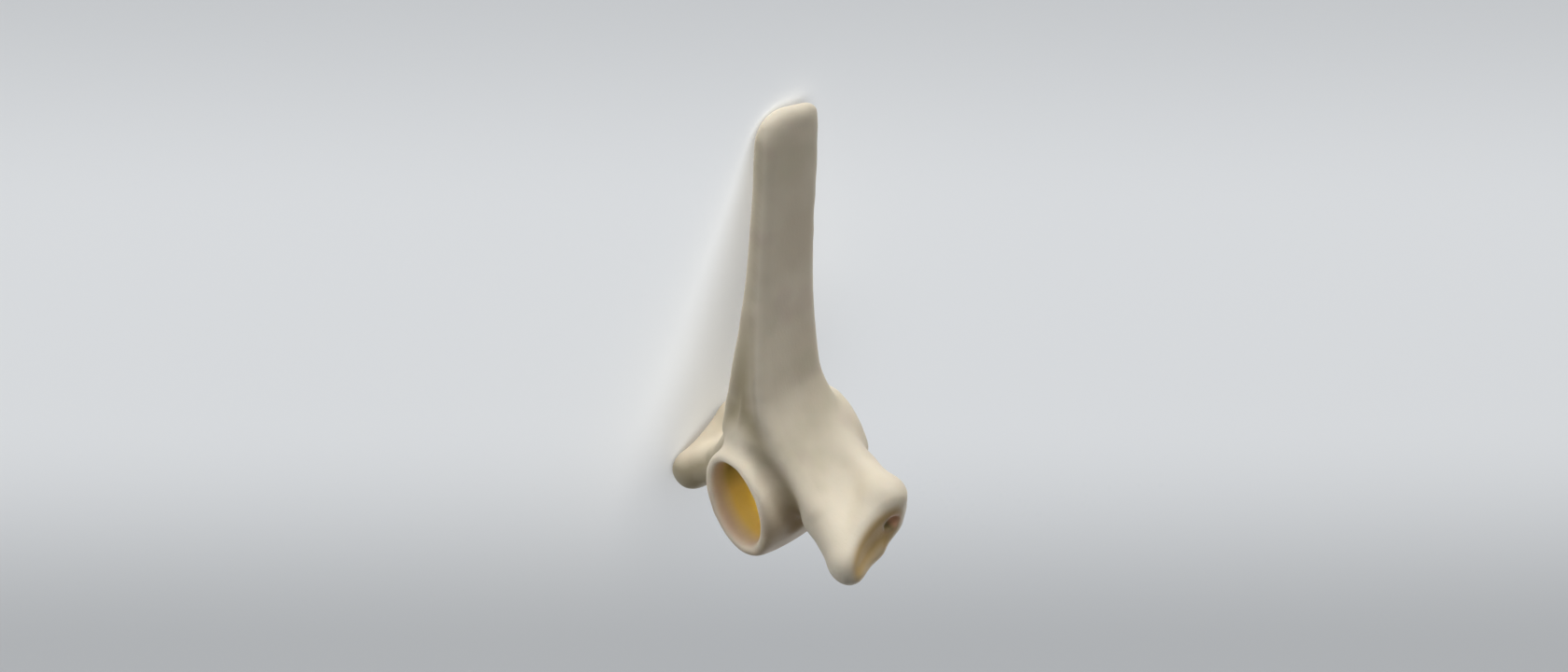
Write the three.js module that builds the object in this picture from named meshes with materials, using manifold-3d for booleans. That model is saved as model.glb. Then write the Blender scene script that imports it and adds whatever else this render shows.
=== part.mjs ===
// Pig thoracic vertebra, a third or fourth one, lying on its right side. Millimetres, +Z up.
// The bone is shaped upright first: +X is the animal's left, +Y its tail end, +Z its back, and the
// origin is the middle of the front ring. It is then laid down on the floor, with its tall spine along +X.

import * as THREE from 'three';
import { ConvexHull } from 'three/addons/math/ConvexHull.js';
import * as BufferGeometryUtils from 'three/addons/utils/BufferGeometryUtils.js';
import Module from 'manifold-3d';

// Driving dimensions of the body, the ring-shaped block below the spine
const BODY_LENGTH = 45;
const RING_HALF_WIDTH = 14.6;
const RING_HALF_HEIGHT = 18.7;
const TAIL_END_GROWTH = 1.2; // how much wider the tail end is than the front ring
const TAIL_END_RISE = 1.9;
const WAIST_DEPTH = 2.2;
const WAIST_PLACE = 0.7; // share of the length, from the front ring
const WAIST_POWER = Math.log(0.5) / Math.log(WAIST_PLACE);
const BELLY_DROP = 3;
const RING_LIP_RADIUS = 1.9;

// Hollow of the front ring, the head of the body deep inside it, and the canal above that head
const RING_WALL = 3.8;
const HOLLOW_LIP_BLEND = 4;
const HOLLOW_DEPTH = 15;
const HEAD_BULGE = 3;
const HEAD_EDGE_BLEND = 3;
const CANAL_HALF_WIDTH = 7.2;
const CANAL_HALF_HEIGHT = 6.6;
const CANAL_HEIGHT = 6.5; // middle of the canal above the middle of the ring
const CANAL_MOUTH_BLEND = 2;
const TAIL_DISH_DEPTH = 1.4;
const TAIL_DISH_HEIGHT = -7; // middle of the tail end's dish below the middle of the ring
const NOTCH_DEPTH = 8; // the nerve's notch in each side of the tail end
const NOTCH_HEIGHT = 0;
const NOTCH_START = 8.5; // from the middle plane
const NOTCH_HALF_HEIGHT = 3.4;
const NOTCH_START_BLEND = 2;
const NOTCH_DISH_BLEND = 1;
const TAIL_RIM_BLEND = 1.5;

// Tall spine: its front and tail edges lean towards the tail
const SPINE_TOP = 123;
const SPINE_FRONT_EDGE = [[5, 8], [9, 35], [15, 58], [20.8, 80], [26, 102], [30, 124]]; // y, z
const SPINE_TAIL_EDGE = [[38, 14], [39.8, 33], [41.6, 55], [45.4, 78], [50.4, 102], [53.8, 124]]; // y, z
const SPINE_FRONT_THICKNESS = [[21, 8], [15, 38], [10.6, 58], [8.2, 80], [7.2, 124]]; // x, z
const SPINE_TAIL_THICKNESS = [[13, 8], [8.4, 35], [5.6, 58], [4.6, 80], [4.6, 124]]; // x, z
const SPINE_EDGE_RADIUS = 2.5;
const SPINE_TOP_SLOPE = 0.17; // the top falls towards the tail, mm a mm
const SPINE_TOP_FRONT_BLEND = 12;
const SPINE_TOP_TAIL_BLEND = 4;
const SPINE_WING_BLEND = 20;
const BODY_FRONT_BLEND = 3;
const BODY_TAIL_BLEND = 1.6;

// Side wings, as round bars from root to tip. The left one is given, and the right one mirrors it.
const WING_REACH = 44;
const WING_FRONT_ROOT = { at: [4, 18.6, 12], radius: 7 };
const WING_FRONT_MIDDLE = { at: [23, 17, -1.6], radius: 5.6 };
const WING_FRONT_TIP = { at: [38.2, 13.4, -10], radius: 6.2 };
const WING_TAIL_ROOT = { at: [4, 32, 13], radius: 5 };
const WING_TAIL_MIDDLE = { at: [22, 35, 4.3], radius: 5.2 };
const WING_TAIL_TIP = { at: [34, 32.5, 0.9], radius: 7.1 };
const WING_END_KEEL = { at: [34.8, 24, -10.5], radius: 6 };
const WING_END_CHEEK = { at: [33.8, 31.2, -6.4], radius: 6.2 };
const WING_PLATE_THICKNESS = 9.6;
const WING_BLEND = 2;

// Neck groove behind the ring's collar, from the middle of its top down each side
const NECK_PATH = [
  { at: [7, 4, 20.4], radius: 1.2 },
  { at: [11, 5.6, 16.2], radius: 2 },
  { at: [15, 7, 9], radius: 2.3 },
  { at: [17, 8.8, 1.2], radius: 2.3 },
  { at: [17.4, 11.4, -7], radius: 2 },
];
const NECK_BLEND = 4;

// Rib facet, the shallow dish on each wing's end
const FACET_RADIUS = 23;
const FACET_RIM_BLEND = 3;
const FACET_MIDDLE = [61.6, 25, -9.4];

// Skin of the solid and the flats it lies on
const CELL = 2.15;
const EVENING_ROUNDS = 3;
const SETTLING_STEPS = 3;
const SETTLING_LIMIT = 0.45; // share of a cell
const SLOPE_STEP = 0.05; // share of a cell
const LEAST_SLOPE = 0.2;
const PROFILE_SAMPLES = 60;
const MARGIN = 7;
const FLAT_ALLOWANCE = 0.25; // what the flat triangles take off a round surface
const FLAT_DEPTH = 0.4;
const FLOOR_THICKNESS = 20;

const lower = (a, b, blend) => {
  const overlap = Math.max(blend - Math.abs(a - b), 0) / blend;
  return Math.min(a, b) - overlap * overlap * blend * 0.25;
};
const upper = (a, b, blend) => -lower(-a, -b, blend);

/** A smooth value along z, read from a few [value, z] points. */
function profile(points) {
  const curve = new THREE.SplineCurve(points.map(([value, z]) => new THREE.Vector2(value, z)));
  const samples = curve.getPoints(PROFILE_SAMPLES);
  return (z) => {
    const next = samples.findIndex((sample) => sample.y > z);
    if (next === 0) return samples[0].x;
    if (next === -1) return samples[samples.length - 1].x;
    const before = samples[next - 1];
    const share = (z - before.y) / (samples[next].y - before.y);
    return THREE.MathUtils.lerp(before.x, samples[next].x, share);
  };
}

/** Distance to an upright ellipse in the plane of x and z, below zero inside. */
function ellipse(x, z, halfWidth, halfHeight) {
  const scaled = Math.hypot(x / halfWidth, z / halfHeight);
  const slope = Math.hypot(x / halfWidth ** 2, z / halfHeight ** 2);
  return slope < 1e-6 ? -halfWidth : (scaled * (scaled - 1)) / slope;
}

/** Distance to a bar with a round end of its own radius at each end. */
function bar(point, start, end) {
  const line = new THREE.Line3(start.middle, end.middle);
  const share = line.closestPointToPointParameter(point, true);
  const nearest = line.at(share, new THREE.Vector3());
  return nearest.distanceTo(point) - THREE.MathUtils.lerp(start.radius, end.radius, share);
}

/** Distance to a rounded three-cornered plate. */
function plate(point, triangle, thickness) {
  const nearest = triangle.closestPointToPoint(point, new THREE.Vector3());
  return nearest.distanceTo(point) - thickness / 2;
}

const ball = ({ at, radius }) => ({ middle: new THREE.Vector3(...at), radius });

/** The ring-shaped block, without its hollow. */
function bodyBlock(point) {
  const share = THREE.MathUtils.clamp(point.y / BODY_LENGTH, 0, 1);
  const waist = WAIST_DEPTH * Math.sin(Math.PI * share ** WAIST_POWER);
  const growth = THREE.MathUtils.lerp(1, TAIL_END_GROWTH, share);
  const halfWidth = RING_HALF_WIDTH * growth - waist;
  const halfHeight = RING_HALF_HEIGHT * growth - waist;
  const middle = TAIL_END_RISE * share - BELLY_DROP * Math.sin(Math.PI * share);
  const wall = ellipse(point.x, point.z - middle, halfWidth, halfHeight);
  const ends = Math.abs(point.y - BODY_LENGTH / 2) - BODY_LENGTH / 2;
  return upper(wall, ends, RING_LIP_RADIUS * 2);
}

/** The ring's hollow with the canal that runs on through the whole block. */
function hollow(point) {
  const cup = ellipse(point.x, point.z, RING_HALF_WIDTH - RING_WALL, RING_HALF_HEIGHT - RING_WALL);
  const fromHead = Math.hypot(point.x, point.z - TAIL_DISH_HEIGHT) / RING_HALF_WIDTH;
  const floor = point.y - HOLLOW_DEPTH - HEAD_BULGE * fromHead ** 2;
  const share = THREE.MathUtils.clamp(point.y / BODY_LENGTH, 0, 1);
  const canal = ellipse(
    point.x,
    point.z - CANAL_HEIGHT - TAIL_END_RISE * share,
    CANAL_HALF_WIDTH,
    CANAL_HALF_HEIGHT,
  );
  return lower(upper(cup, floor, HEAD_EDGE_BLEND), canal, CANAL_MOUTH_BLEND);
}

/** The tail end's shallow dish and the nerve's notch in each side. */
function tailHollows(point) {
  const dishRadius = (RING_HALF_WIDTH ** 2 + TAIL_DISH_DEPTH ** 2) / (2 * TAIL_DISH_DEPTH);
  const dish = Math.hypot(
    point.x,
    point.y - BODY_LENGTH - dishRadius + TAIL_DISH_DEPTH,
    point.z - TAIL_DISH_HEIGHT,
  ) - dishRadius;
  const notch = Math.hypot(
    (point.y - BODY_LENGTH - 1) / (NOTCH_DEPTH + 1),
    (point.z - NOTCH_HEIGHT) / NOTCH_HALF_HEIGHT,
  ) * NOTCH_HALF_HEIGHT - NOTCH_HALF_HEIGHT;
  const sideNotch = upper(notch, NOTCH_START - Math.abs(point.x), NOTCH_START_BLEND);
  return lower(dish, sideNotch, NOTCH_DISH_BLEND);
}

const spineFront = profile(SPINE_FRONT_EDGE);
const spineTail = profile(SPINE_TAIL_EDGE);
const spineFrontThickness = profile(SPINE_FRONT_THICKNESS);
const spineTailThickness = profile(SPINE_TAIL_THICKNESS);

/** The tall flat spine, thicker along its front edge. */
function spine(point) {
  const front = spineFront(point.z);
  const tail = spineTail(point.z);
  const share = THREE.MathUtils.clamp((point.y - front) / (tail - front), 0, 1);
  const thickness = THREE.MathUtils.lerp(
    spineFrontThickness(point.z),
    spineTailThickness(point.z),
    share,
  );
  const sides = Math.abs(point.x) - thickness / 2;
  const top = point.z - SPINE_TOP + SPINE_TOP_SLOPE * (point.y - spineFront(SPINE_TOP));
  const bottom = SPINE_FRONT_EDGE[0][1] - point.z;
  const frontOutline = upper(front - point.y, Math.max(top, bottom), SPINE_TOP_FRONT_BLEND);
  const outline = upper(frontOutline, point.y - tail, SPINE_TOP_TAIL_BLEND);
  return upper(sides, outline, SPINE_EDGE_RADIUS * 2);
}

const wingBars = [
  [WING_FRONT_ROOT, WING_FRONT_MIDDLE],
  [WING_FRONT_MIDDLE, WING_FRONT_TIP],
  [WING_TAIL_ROOT, WING_TAIL_MIDDLE],
  [WING_TAIL_MIDDLE, WING_TAIL_TIP],
  [WING_FRONT_TIP, WING_TAIL_TIP],
  [WING_FRONT_TIP, WING_END_KEEL],
  [WING_END_KEEL, WING_END_CHEEK],
  [WING_END_CHEEK, WING_TAIL_TIP],
].map((ends) => ends.map(ball));
const corner = (knob) => new THREE.Vector3(...knob.at);
const wingPlates = [
  [WING_FRONT_ROOT, WING_TAIL_ROOT, WING_FRONT_MIDDLE],
  [WING_TAIL_ROOT, WING_TAIL_MIDDLE, WING_FRONT_MIDDLE],
  [WING_FRONT_MIDDLE, WING_TAIL_MIDDLE, WING_FRONT_TIP],
  [WING_TAIL_MIDDLE, WING_TAIL_TIP, WING_FRONT_TIP],
  [WING_FRONT_TIP, WING_END_KEEL, WING_TAIL_TIP],
].map((knobs) => new THREE.Triangle(...knobs.map(corner)));
const facetMiddle = new THREE.Vector3(...FACET_MIDDLE);

const neckBars = NECK_PATH.slice(1).map((end, n) => [NECK_PATH[n], end].map(ball));

/** The groove between the ring's collar and the arch with its wings, mirrored on the middle plane. */
function neck(point) {
  const folded = new THREE.Vector3(Math.abs(point.x), point.y, point.z);
  return Math.min(...neckBars.map(([start, end]) => bar(folded, start, end)));
}

/** Both side wings with their rib facets, mirrored on the middle plane. */
function wings(point) {
  const folded = new THREE.Vector3(Math.abs(point.x), point.y, point.z);
  let distance = Infinity;
  for (const triangle of wingPlates) {
    distance = Math.min(distance, plate(folded, triangle, WING_PLATE_THICKNESS));
  }
  for (const [start, end] of wingBars) distance = lower(distance, bar(folded, start, end), WING_BLEND);
  distance = upper(distance, folded.x - WING_REACH, WING_BLEND);
  return upper(distance, FACET_RADIUS - folded.distanceTo(facetMiddle), FACET_RIM_BLEND);
}

/** The whole bone: below zero inside it, zero on its skin. */
function bone(point) {
  const arch = lower(spine(point), wings(point), SPINE_WING_BLEND);
  const share = THREE.MathUtils.smoothstep(point.y, 0, BODY_LENGTH);
  const blend = THREE.MathUtils.lerp(BODY_FRONT_BLEND, BODY_TAIL_BLEND, share);
  const solid = lower(arch, bodyBlock(point), blend);
  const necked = upper(solid, -neck(point), NECK_BLEND);
  const opened = upper(necked, -hollow(point), HOLLOW_LIP_BLEND);
  return upper(opened, -tailHollows(point), TAIL_RIM_BLEND) - FLAT_ALLOWANCE;
}

/** A closed skin over the zero surface of a shape, with one vertex in each cell that it crosses. */
function skin(shape, box, cell) {
  const counts = box.getSize(new THREE.Vector3()).divideScalar(cell).ceil().addScalar(1);
  const [nx, ny, nz] = counts.toArray();
  const index = (i, j, k) => i + nx * (j + ny * k);
  const place = (i, j, k) => new THREE.Vector3(i, j, k).multiplyScalar(cell).add(box.min);
  const values = new Float32Array(nx * ny * nz);
  for (let k = 0; k < nz; k += 1) {
    for (let j = 0; j < ny; j += 1) {
      for (let i = 0; i < nx; i += 1) values[index(i, j, k)] = shape(place(i, j, k));
    }
  }
  const steps = [[1, 0, 0], [0, 1, 0], [0, 0, 1]];
  const corners = Array.from({ length: 8 }, (_, n) => [n & 1, (n >> 1) & 1, n >> 2]);
  const vertexOf = new Map();
  const positions = [];

  /** Puts a vertex at the mean of the crossings on a cell's twelve edges, once. */
  function vertex(i, j, k) {
    const key = index(i, j, k);
    if (vertexOf.has(key)) return vertexOf.get(key);
    const mean = new THREE.Vector3();
    let crossings = 0;
    for (const [di, dj, dk] of corners) {
      for (const [si, sj, sk] of steps) {
        if (di + si > 1 || dj + sj > 1 || dk + sk > 1) continue;
        const start = values[index(i + di, j + dj, k + dk)];
        const end = values[index(i + di + si, j + dj + sj, k + dk + sk)];
        if (start < 0 === end < 0) continue;
        const share = start / (start - end);
        mean.add(place(i + di + si * share, j + dj + sj * share, k + dk + sk * share));
        crossings += 1;
      }
    }
    mean.divideScalar(crossings);
    vertexOf.set(key, positions.length / 3);
    positions.push(mean.x, mean.y, mean.z);
    return vertexOf.get(key);
  }

  const triangles = [];
  for (let k = 1; k < nz - 1; k += 1) {
    for (let j = 1; j < ny - 1; j += 1) {
      for (let i = 1; i < nx - 1; i += 1) {
        const here = values[index(i, j, k)];
        steps.forEach(([si, sj, sk], axis) => {
          const there = values[index(i + si, j + sj, k + sk)];
          if (here < 0 === there < 0) return;
          const [ui, uj, uk] = steps[(axis + 1) % 3];
          const [vi, vj, vk] = steps[(axis + 2) % 3];
          const quad = [
            vertex(i, j, k),
            vertex(i - ui, j - uj, k - uk),
            vertex(i - ui - vi, j - uj - vj, k - uk - vk),
            vertex(i - vi, j - vj, k - vk),
          ];
          if (there < 0) quad.reverse();
          triangles.push(...split(quad, positions));
        });
      }
    }
  }
  for (let round = 0; round < EVENING_ROUNDS; round += 1) even(shape, positions, triangles, cell);
  const geometry = new THREE.BufferGeometry();
  geometry.setAttribute('position', new THREE.Float32BufferAttribute(positions, 3));
  geometry.setIndex(triangles);
  return geometry;
}

/** Draws each vertex halfway to the middle of its neighbours, and back onto the zero surface. */
function even(shape, positions, triangles, cell) {
  const sums = Array.from({ length: positions.length / 3 }, () => ({ total: new THREE.Vector3(), count: 0 }));
  const at = (n) => new THREE.Vector3().fromArray(positions, n * 3);
  for (let n = 0; n < triangles.length; n += 3) {
    const ring = triangles.slice(n, n + 3);
    ring.forEach((corner, m) => {
      sums[corner].total.add(at(ring[(m + 1) % 3])).add(at(ring[(m + 2) % 3]));
      sums[corner].count += 2;
    });
  }
  sums.forEach(({ total, count }, n) => {
    const vertex = at(n).lerp(total.divideScalar(count), 0.5);
    settle(shape, vertex, cell);
    vertex.toArray(positions, n * 3);
  });
}

/** Moves a vertex onto the zero surface, along the steepest way and by less than a cell. */
function settle(shape, vertex, cell) {
  const reach = cell * SLOPE_STEP;
  const start = vertex.clone();
  for (let round = 0; round < SETTLING_STEPS; round += 1) {
    const value = shape(vertex);
    const slope = new THREE.Vector3();
    for (const axis of ['x', 'y', 'z']) {
      const ahead = vertex.clone();
      ahead[axis] += reach;
      slope[axis] = (shape(ahead) - value) / reach;
    }
    vertex.addScaledVector(slope, -value / Math.max(slope.lengthSq(), LEAST_SLOPE));
  }
  vertex.sub(start).clampLength(0, cell * SETTLING_LIMIT).add(start);
}

/** Splits a quad along its shorter diagonal. */
function split([a, b, c, d], positions) {
  const at = (n) => new THREE.Vector3().fromArray(positions, n * 3);
  if (at(a).distanceTo(at(c)) < at(b).distanceTo(at(d))) return [a, b, c, a, c, d];
  return [b, c, d, b, d, a];
}

const wasm = await Module();
wasm.setup();

function toSolid(geometry) {
  const bare = geometry.clone();
  bare.deleteAttribute('normal');
  bare.deleteAttribute('uv');
  const merged = BufferGeometryUtils.mergeVertices(bare, 1e-4);
  return new wasm.Manifold(new wasm.Mesh({
    numProp: 3,
    vertProperties: new Float32Array(merged.attributes.position.array),
    triVerts: new Uint32Array(merged.index.array),
  }));
}

function toGeometry(solid) {
  const mesh = solid.getMesh();
  const geometry = new THREE.BufferGeometry();
  geometry.setAttribute('position', new THREE.BufferAttribute(mesh.vertProperties, 3));
  geometry.setIndex(new THREE.BufferAttribute(mesh.triVerts, 1));
  return geometry;
}

/** The largest of a solid's closed pieces. */
function largestPiece(solid) {
  const pieces = solid.decompose();
  pieces.sort((a, b) => b.volume() - a.volume());
  return pieces[0];
}

const reach = new THREE.Box3(
  new THREE.Vector3(-WING_REACH - MARGIN, -MARGIN, -RING_HALF_HEIGHT * TAIL_END_GROWTH - MARGIN),
  new THREE.Vector3(WING_REACH + MARGIN, SPINE_TAIL_EDGE.at(-1)[0] + MARGIN, SPINE_TOP + MARGIN),
);
const upright = largestPiece(toSolid(skin(bone, reach, CELL)));

/** The turn that lays a solid on the side of its hull that is below its centre of mass. */
function restingTurn(solid, side) {
  const mesh = solid.getMesh();
  const points = [];
  for (let n = 0; n < mesh.vertProperties.length; n += 3) {
    points.push(new THREE.Vector3().fromArray(mesh.vertProperties, n));
  }
  const centre = centreOfMass(points, mesh.triVerts);
  const foot = new THREE.Vector3();
  const candidates = new ConvexHull().setFromPoints(points).faces.filter((face) => {
    const corners = [face.edge, face.edge.next, face.edge.prev].map((edge) => edge.head().point);
    const triangle = new THREE.Triangle(...corners);
    foot.copy(centre).addScaledVector(face.normal, -face.distanceToPoint(centre));
    return triangle.containsPoint(foot);
  });
  candidates.sort((a, b) => b.normal.dot(side) - a.normal.dot(side));
  const up = candidates[0].normal.clone().negate();
  const along = new THREE.Vector3(0, 0, 1).projectOnPlane(up).normalize();
  const across = up.clone().cross(along);
  return new THREE.Matrix4().makeBasis(along, across, up).transpose();
}

/** The centre of mass of a closed mesh of one material. */
function centreOfMass(points, triangles) {
  const total = new THREE.Vector3();
  let volume = 0;
  for (let n = 0; n < triangles.length; n += 3) {
    const [a, b, c] = [points[triangles[n]], points[triangles[n + 1]], points[triangles[n + 2]]];
    const sixfold = a.dot(b.clone().cross(c));
    total.add(a.clone().add(b).add(c).multiplyScalar(sixfold / 4));
    volume += sixfold;
  }
  return total.divideScalar(volume);
}

const turned = toGeometry(upright).applyMatrix4(restingTurn(upright, new THREE.Vector3(-1, 0, 0)));
turned.computeBoundingBox();
const middle = turned.boundingBox.getCenter(new THREE.Vector3());
turned.translate(-middle.x, -middle.y, -turned.boundingBox.min.z - FLAT_DEPTH);

// The bone wears a small flat wherever it touches the floor
const floorSize = turned.boundingBox.getSize(new THREE.Vector3()).multiplyScalar(2);
const floor = new THREE.BoxGeometry(floorSize.x, floorSize.y, FLOOR_THICKNESS);
floor.translate(0, 0, -FLOOR_THICKNESS / 2);
const resting = toGeometry(toSolid(turned).subtract(toSolid(floor)));

const boneMaterial = new THREE.MeshStandardMaterial({ color: '#d8cdb8', roughness: 0.55, metalness: 0 });
const vertebra = new THREE.Mesh(resting, boneMaterial);
vertebra.name = 'vertebra';

const model = new THREE.Group();
model.add(vertebra);

export default model;
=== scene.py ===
"""Pig thoracic vertebra: the dry bone's fine surface, finish and studio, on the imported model's frame."""

import logging
import math
from dataclasses import dataclass, field
from enum import Enum

import bpy
from mathutils import Matrix, Vector
from mathutils.bvhtree import BVHTree


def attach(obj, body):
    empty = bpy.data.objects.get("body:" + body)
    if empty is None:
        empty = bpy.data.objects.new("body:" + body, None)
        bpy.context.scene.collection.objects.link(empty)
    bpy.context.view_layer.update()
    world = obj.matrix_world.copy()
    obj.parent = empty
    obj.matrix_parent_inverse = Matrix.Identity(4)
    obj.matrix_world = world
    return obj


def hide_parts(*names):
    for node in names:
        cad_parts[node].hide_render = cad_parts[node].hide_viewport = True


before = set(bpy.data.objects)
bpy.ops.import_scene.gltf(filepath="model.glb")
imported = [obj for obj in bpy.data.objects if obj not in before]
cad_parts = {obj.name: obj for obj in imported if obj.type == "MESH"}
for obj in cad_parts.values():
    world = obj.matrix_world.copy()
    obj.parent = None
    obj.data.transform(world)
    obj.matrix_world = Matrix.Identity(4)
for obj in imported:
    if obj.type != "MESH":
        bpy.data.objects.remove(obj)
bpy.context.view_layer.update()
NODE = "vertebra"
MM = 0.001
LOG = logging.getLogger("vertebra")

Triple = tuple[float, float, float]
# A start and the length from there over which fade grows from 0 to 1.
Span = tuple[float, float]


def linear(hex_color: str) -> tuple[float, float, float, float]:
    """Turns an sRGB hex colour into the linear values that a shader reads.

    Args:
        hex_color: Six hex digits with a leading hash.

    Returns:
        Red, green, blue and an alpha of one.
    """
    values = [int(hex_color[n:n + 2], 16) / 255 for n in (1, 3, 5)]
    red, green, blue = [v / 12.92 if v <= 0.04045 else ((v + 0.055) / 1.055) ** 2.4 for v in values]
    return red, green, blue, 1.0


def fade(value: float, start: float, span: float) -> float:
    """Grows evenly from 0 at a start to 1 at the end of a span, and holds both beyond them.

    Args:
        value: The value that is looked at.
        start: The value that gives 0.
        span: How far on from the start the result is 1, negative where it grows downwards.

    Returns:
        A number from 0 to 1.
    """
    return min(max((value - start) / span, 0), 1)


def on_left(place: Vector) -> Vector:
    """Returns a place on the bone's left half, or the mirror image there of a place on its right half."""
    return Vector((abs(place.x), place.y, place.z))


@dataclass(frozen=True)
class BoneFrame:
    """The bone's own axes as it lies: its left, its tail end and its back, from the middle of the front ring.

    Attributes:
        dip_deg: How far the spine dips to the floor.
        twist_deg: How far the bone is twisted about the spine.
        ring_middle_mm: Where the middle of the front ring lies in the row frame.
    """

    dip_deg: float = 18.679
    twist_deg: float = 5.496
    ring_middle_mm: Triple = (-43.886, 25.384, 37.043)

    def matrix(self) -> Matrix:
        """Works out where the bone lies.

        Returns:
            The matrix from the bone's millimetres to the row frame's metres.
        """
        dip, twist = math.radians(self.dip_deg), math.radians(self.twist_deg)
        back = Vector((math.cos(dip), 0, -math.sin(dip)))
        level_left, level_tail = Vector((math.sin(dip), 0, math.cos(dip))), Vector((0, -1, 0))
        tail = level_tail * math.cos(twist) + level_left * math.sin(twist)
        left = level_left * math.cos(twist) - level_tail * math.sin(twist)
        turn = Matrix((left, tail, back)).transposed().to_4x4()
        place = Matrix.Translation(Vector(self.ring_middle_mm) * MM)
        return place @ turn @ Matrix.Scale(MM, 4)

    def at(self, left: float, tail: float, back: float) -> Vector:
        """Returns the row frame's point for a place on the bone, in the bone's millimetres."""
        return self.matrix() @ Vector((left, tail, back))

    def way(self, left: float, tail: float, back: float) -> Vector:
        """Returns the row frame's unit direction for a direction on the bone."""
        return (self.matrix().to_3x3() @ Vector((left, tail, back))).normalized()


def deselect() -> None:
    """Leaves edit mode and deselects every object."""
    if bpy.context.object and bpy.context.object.mode != "OBJECT":
        bpy.ops.object.mode_set(mode="OBJECT")
    bpy.ops.object.select_all(action="DESELECT")


def activate(piece: bpy.types.Object) -> None:
    """Makes one object the only selected one and the active one."""
    deselect()
    piece.select_set(True)
    bpy.context.view_layer.objects.active = piece


def apply_modifier(piece: bpy.types.Object, kind: str, **settings: object) -> None:
    """Adds a modifier with its settings and applies it at once.

    Args:
        piece: The mesh object.
        kind: The modifier's type.
        settings: The modifier's properties by name.
    """
    activate(piece)
    modifier = piece.modifiers.new(kind.lower(), kind)
    for name, value in settings.items():
        setattr(modifier, name, value)
    bpy.ops.object.modifier_apply(modifier=modifier.name)


def set_inputs(node: bpy.types.Node, values: dict[str, object]) -> None:
    """Sets the plain values of a node's inputs, by their names."""
    for name, value in values.items():
        node.inputs[name].default_value = value


def add_node(tree: bpy.types.NodeTree, kind: str, links: dict[str, object] | None = None,
             **settings: object) -> bpy.types.Node:
    """Adds a node with its settings and links.

    Args:
        tree: The node tree.
        kind: The node's type, without the ShaderNode prefix.
        links: Input name to a plain value or to the output socket that feeds it.
        settings: The node's own properties by name.

    Returns:
        The new node.
    """
    node = tree.nodes.new("ShaderNode" + kind)
    for name, value in settings.items():
        setattr(node, name, value)
    for name, value in (links or {}).items():
        socket = node.inputs[int(name)] if name.isdigit() else node.inputs[name]
        if isinstance(value, bpy.types.NodeSocket):
            tree.links.new(value, socket)
        else:
            socket.default_value = value
    return node


class Mask(Enum):
    """The painted maps that the bone's finish reads, one attribute each; several of them paint shade into its
    colour.
    """

    CREVICE_SHADE = "crevice"
    HOLLOW = "hollow"
    HOLLOW_SHADE = "hollow_shade"
    FACET = "facet"
    PIT = "pit"
    WEAR = "wear"
    UNDERSIDE_SHADE = "under"
    VALLEY = "valley"
    PIT_ROOF = "pit_roof"
    LIP = "lip"
    RIGHT_WING_SHADE = "right_wing_shade"
    RING_WALL_SHADE = "ring_wall_shade"


@dataclass(frozen=True)
class Band:
    """A soft band along a bent line on the bone, alike on both sides of its middle plane.

    Attributes:
        path_mm: The line's corners on the bone's left, in the bone's millimetres.
        reach_mm: How far from the line the band fades out.
        top_mm: The height up the spine where the band begins from nothing.
        taper_mm: The length over which it grows to its full strength.
    """

    path_mm: tuple[Triple, ...]
    reach_mm: float
    top_mm: float
    taper_mm: float

    def closeness(self, place: Vector) -> float:
        """Tells how near a place is to the line.

        Args:
            place: The place, in the bone's millimetres.

        Returns:
            1 on the line, 0 beyond its reach and a soft fall between.
        """
        point = on_left(place)
        stretches = zip(self.path_mm, self.path_mm[1:])
        away = min(self.gap(point, Vector(one), Vector(two)) for one, two in stretches)
        near = max(1 - away / self.reach_mm, 0)
        return near * near * (3 - 2 * near) * fade(place.z, self.top_mm, -self.taper_mm)

    def gap(self, point: Vector, start: Vector, end: Vector) -> float:
        """Measures how far a point is from one straight stretch of the line.

        Args:
            point: The point on the bone's left.
            start: The stretch's start.
            end: Its end.

        Returns:
            The distance.
        """
        way = end - start
        share = fade((point - start).dot(way), 0, way.length_squared)
        return (point - start - way * share).length


# The crest runs down the spine's front edge and out onto the wing.
CREST = Band(((3.2, 23.5, 84.8), (3.8, 19.2, 68.0), (5.2, 14.6, 51.0), (7.9, 11.7, 33.6), (12.5, 10.9, 20.2),
              (18.0, 12.7, 11.2), (23.8, 12.1, 3.7)), reach_mm=5.0, top_mm=66, taper_mm=36)
# The valley lies between the crest and the ring, and its painted shade starts a little higher and reaches
# wider.
SPINE_FRONT_MM = ((0.0, 16.5, 64.0), (0.0, 13.5, 54.0))
BESIDE_RING_MM = ((9.0, 6.8, 24.7), (11.9, 8.4, 18.1), (14.6, 9.6, 11.7), (16.5, 11.0, 3.0),
                  (15.0, 13.5, -6.0))
VALLEY = Band(SPINE_FRONT_MM + ((0.5, 9.5, 38.5), (4.0, 7.2, 29.5)) + BESIDE_RING_MM,
              reach_mm=6.0, top_mm=62, taper_mm=26)
VALLEY_SHADE = Band(SPINE_FRONT_MM + ((0.0, 9.5, 38.5), (0.0, 8.0, 33.0), (5.0, 7.2, 29.0))
                    + BESIDE_RING_MM, reach_mm=8.0, top_mm=66, taper_mm=24)
# The keel rounds the wing's lower rim over, between the front tip and the belly side of the facet.
KEEL = Band(((43.0, 13.0, -14.0), (40.0, 19.5, -13.8), (39.0, 25.0, -12.5)),
            reach_mm=5.0, top_mm=20, taper_mm=10)


@dataclass(frozen=True)
class RibFacet:
    """The scooped rib facet at the end of each wing, a part of a ball's inside.

    Attributes:
        middle_mm: The ball's middle on the bone's left.
        radius_mm: The ball's radius.
    """

    middle_mm: Triple = (61.6, 25.0, -9.4)
    radius_mm: float = 23.0

    def gap(self, place: Vector) -> float:
        """Returns how far a place on either side of the bone lies from the ball's wall."""
        return abs((on_left(place) - Vector(self.middle_mm)).length - self.radius_mm)


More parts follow.
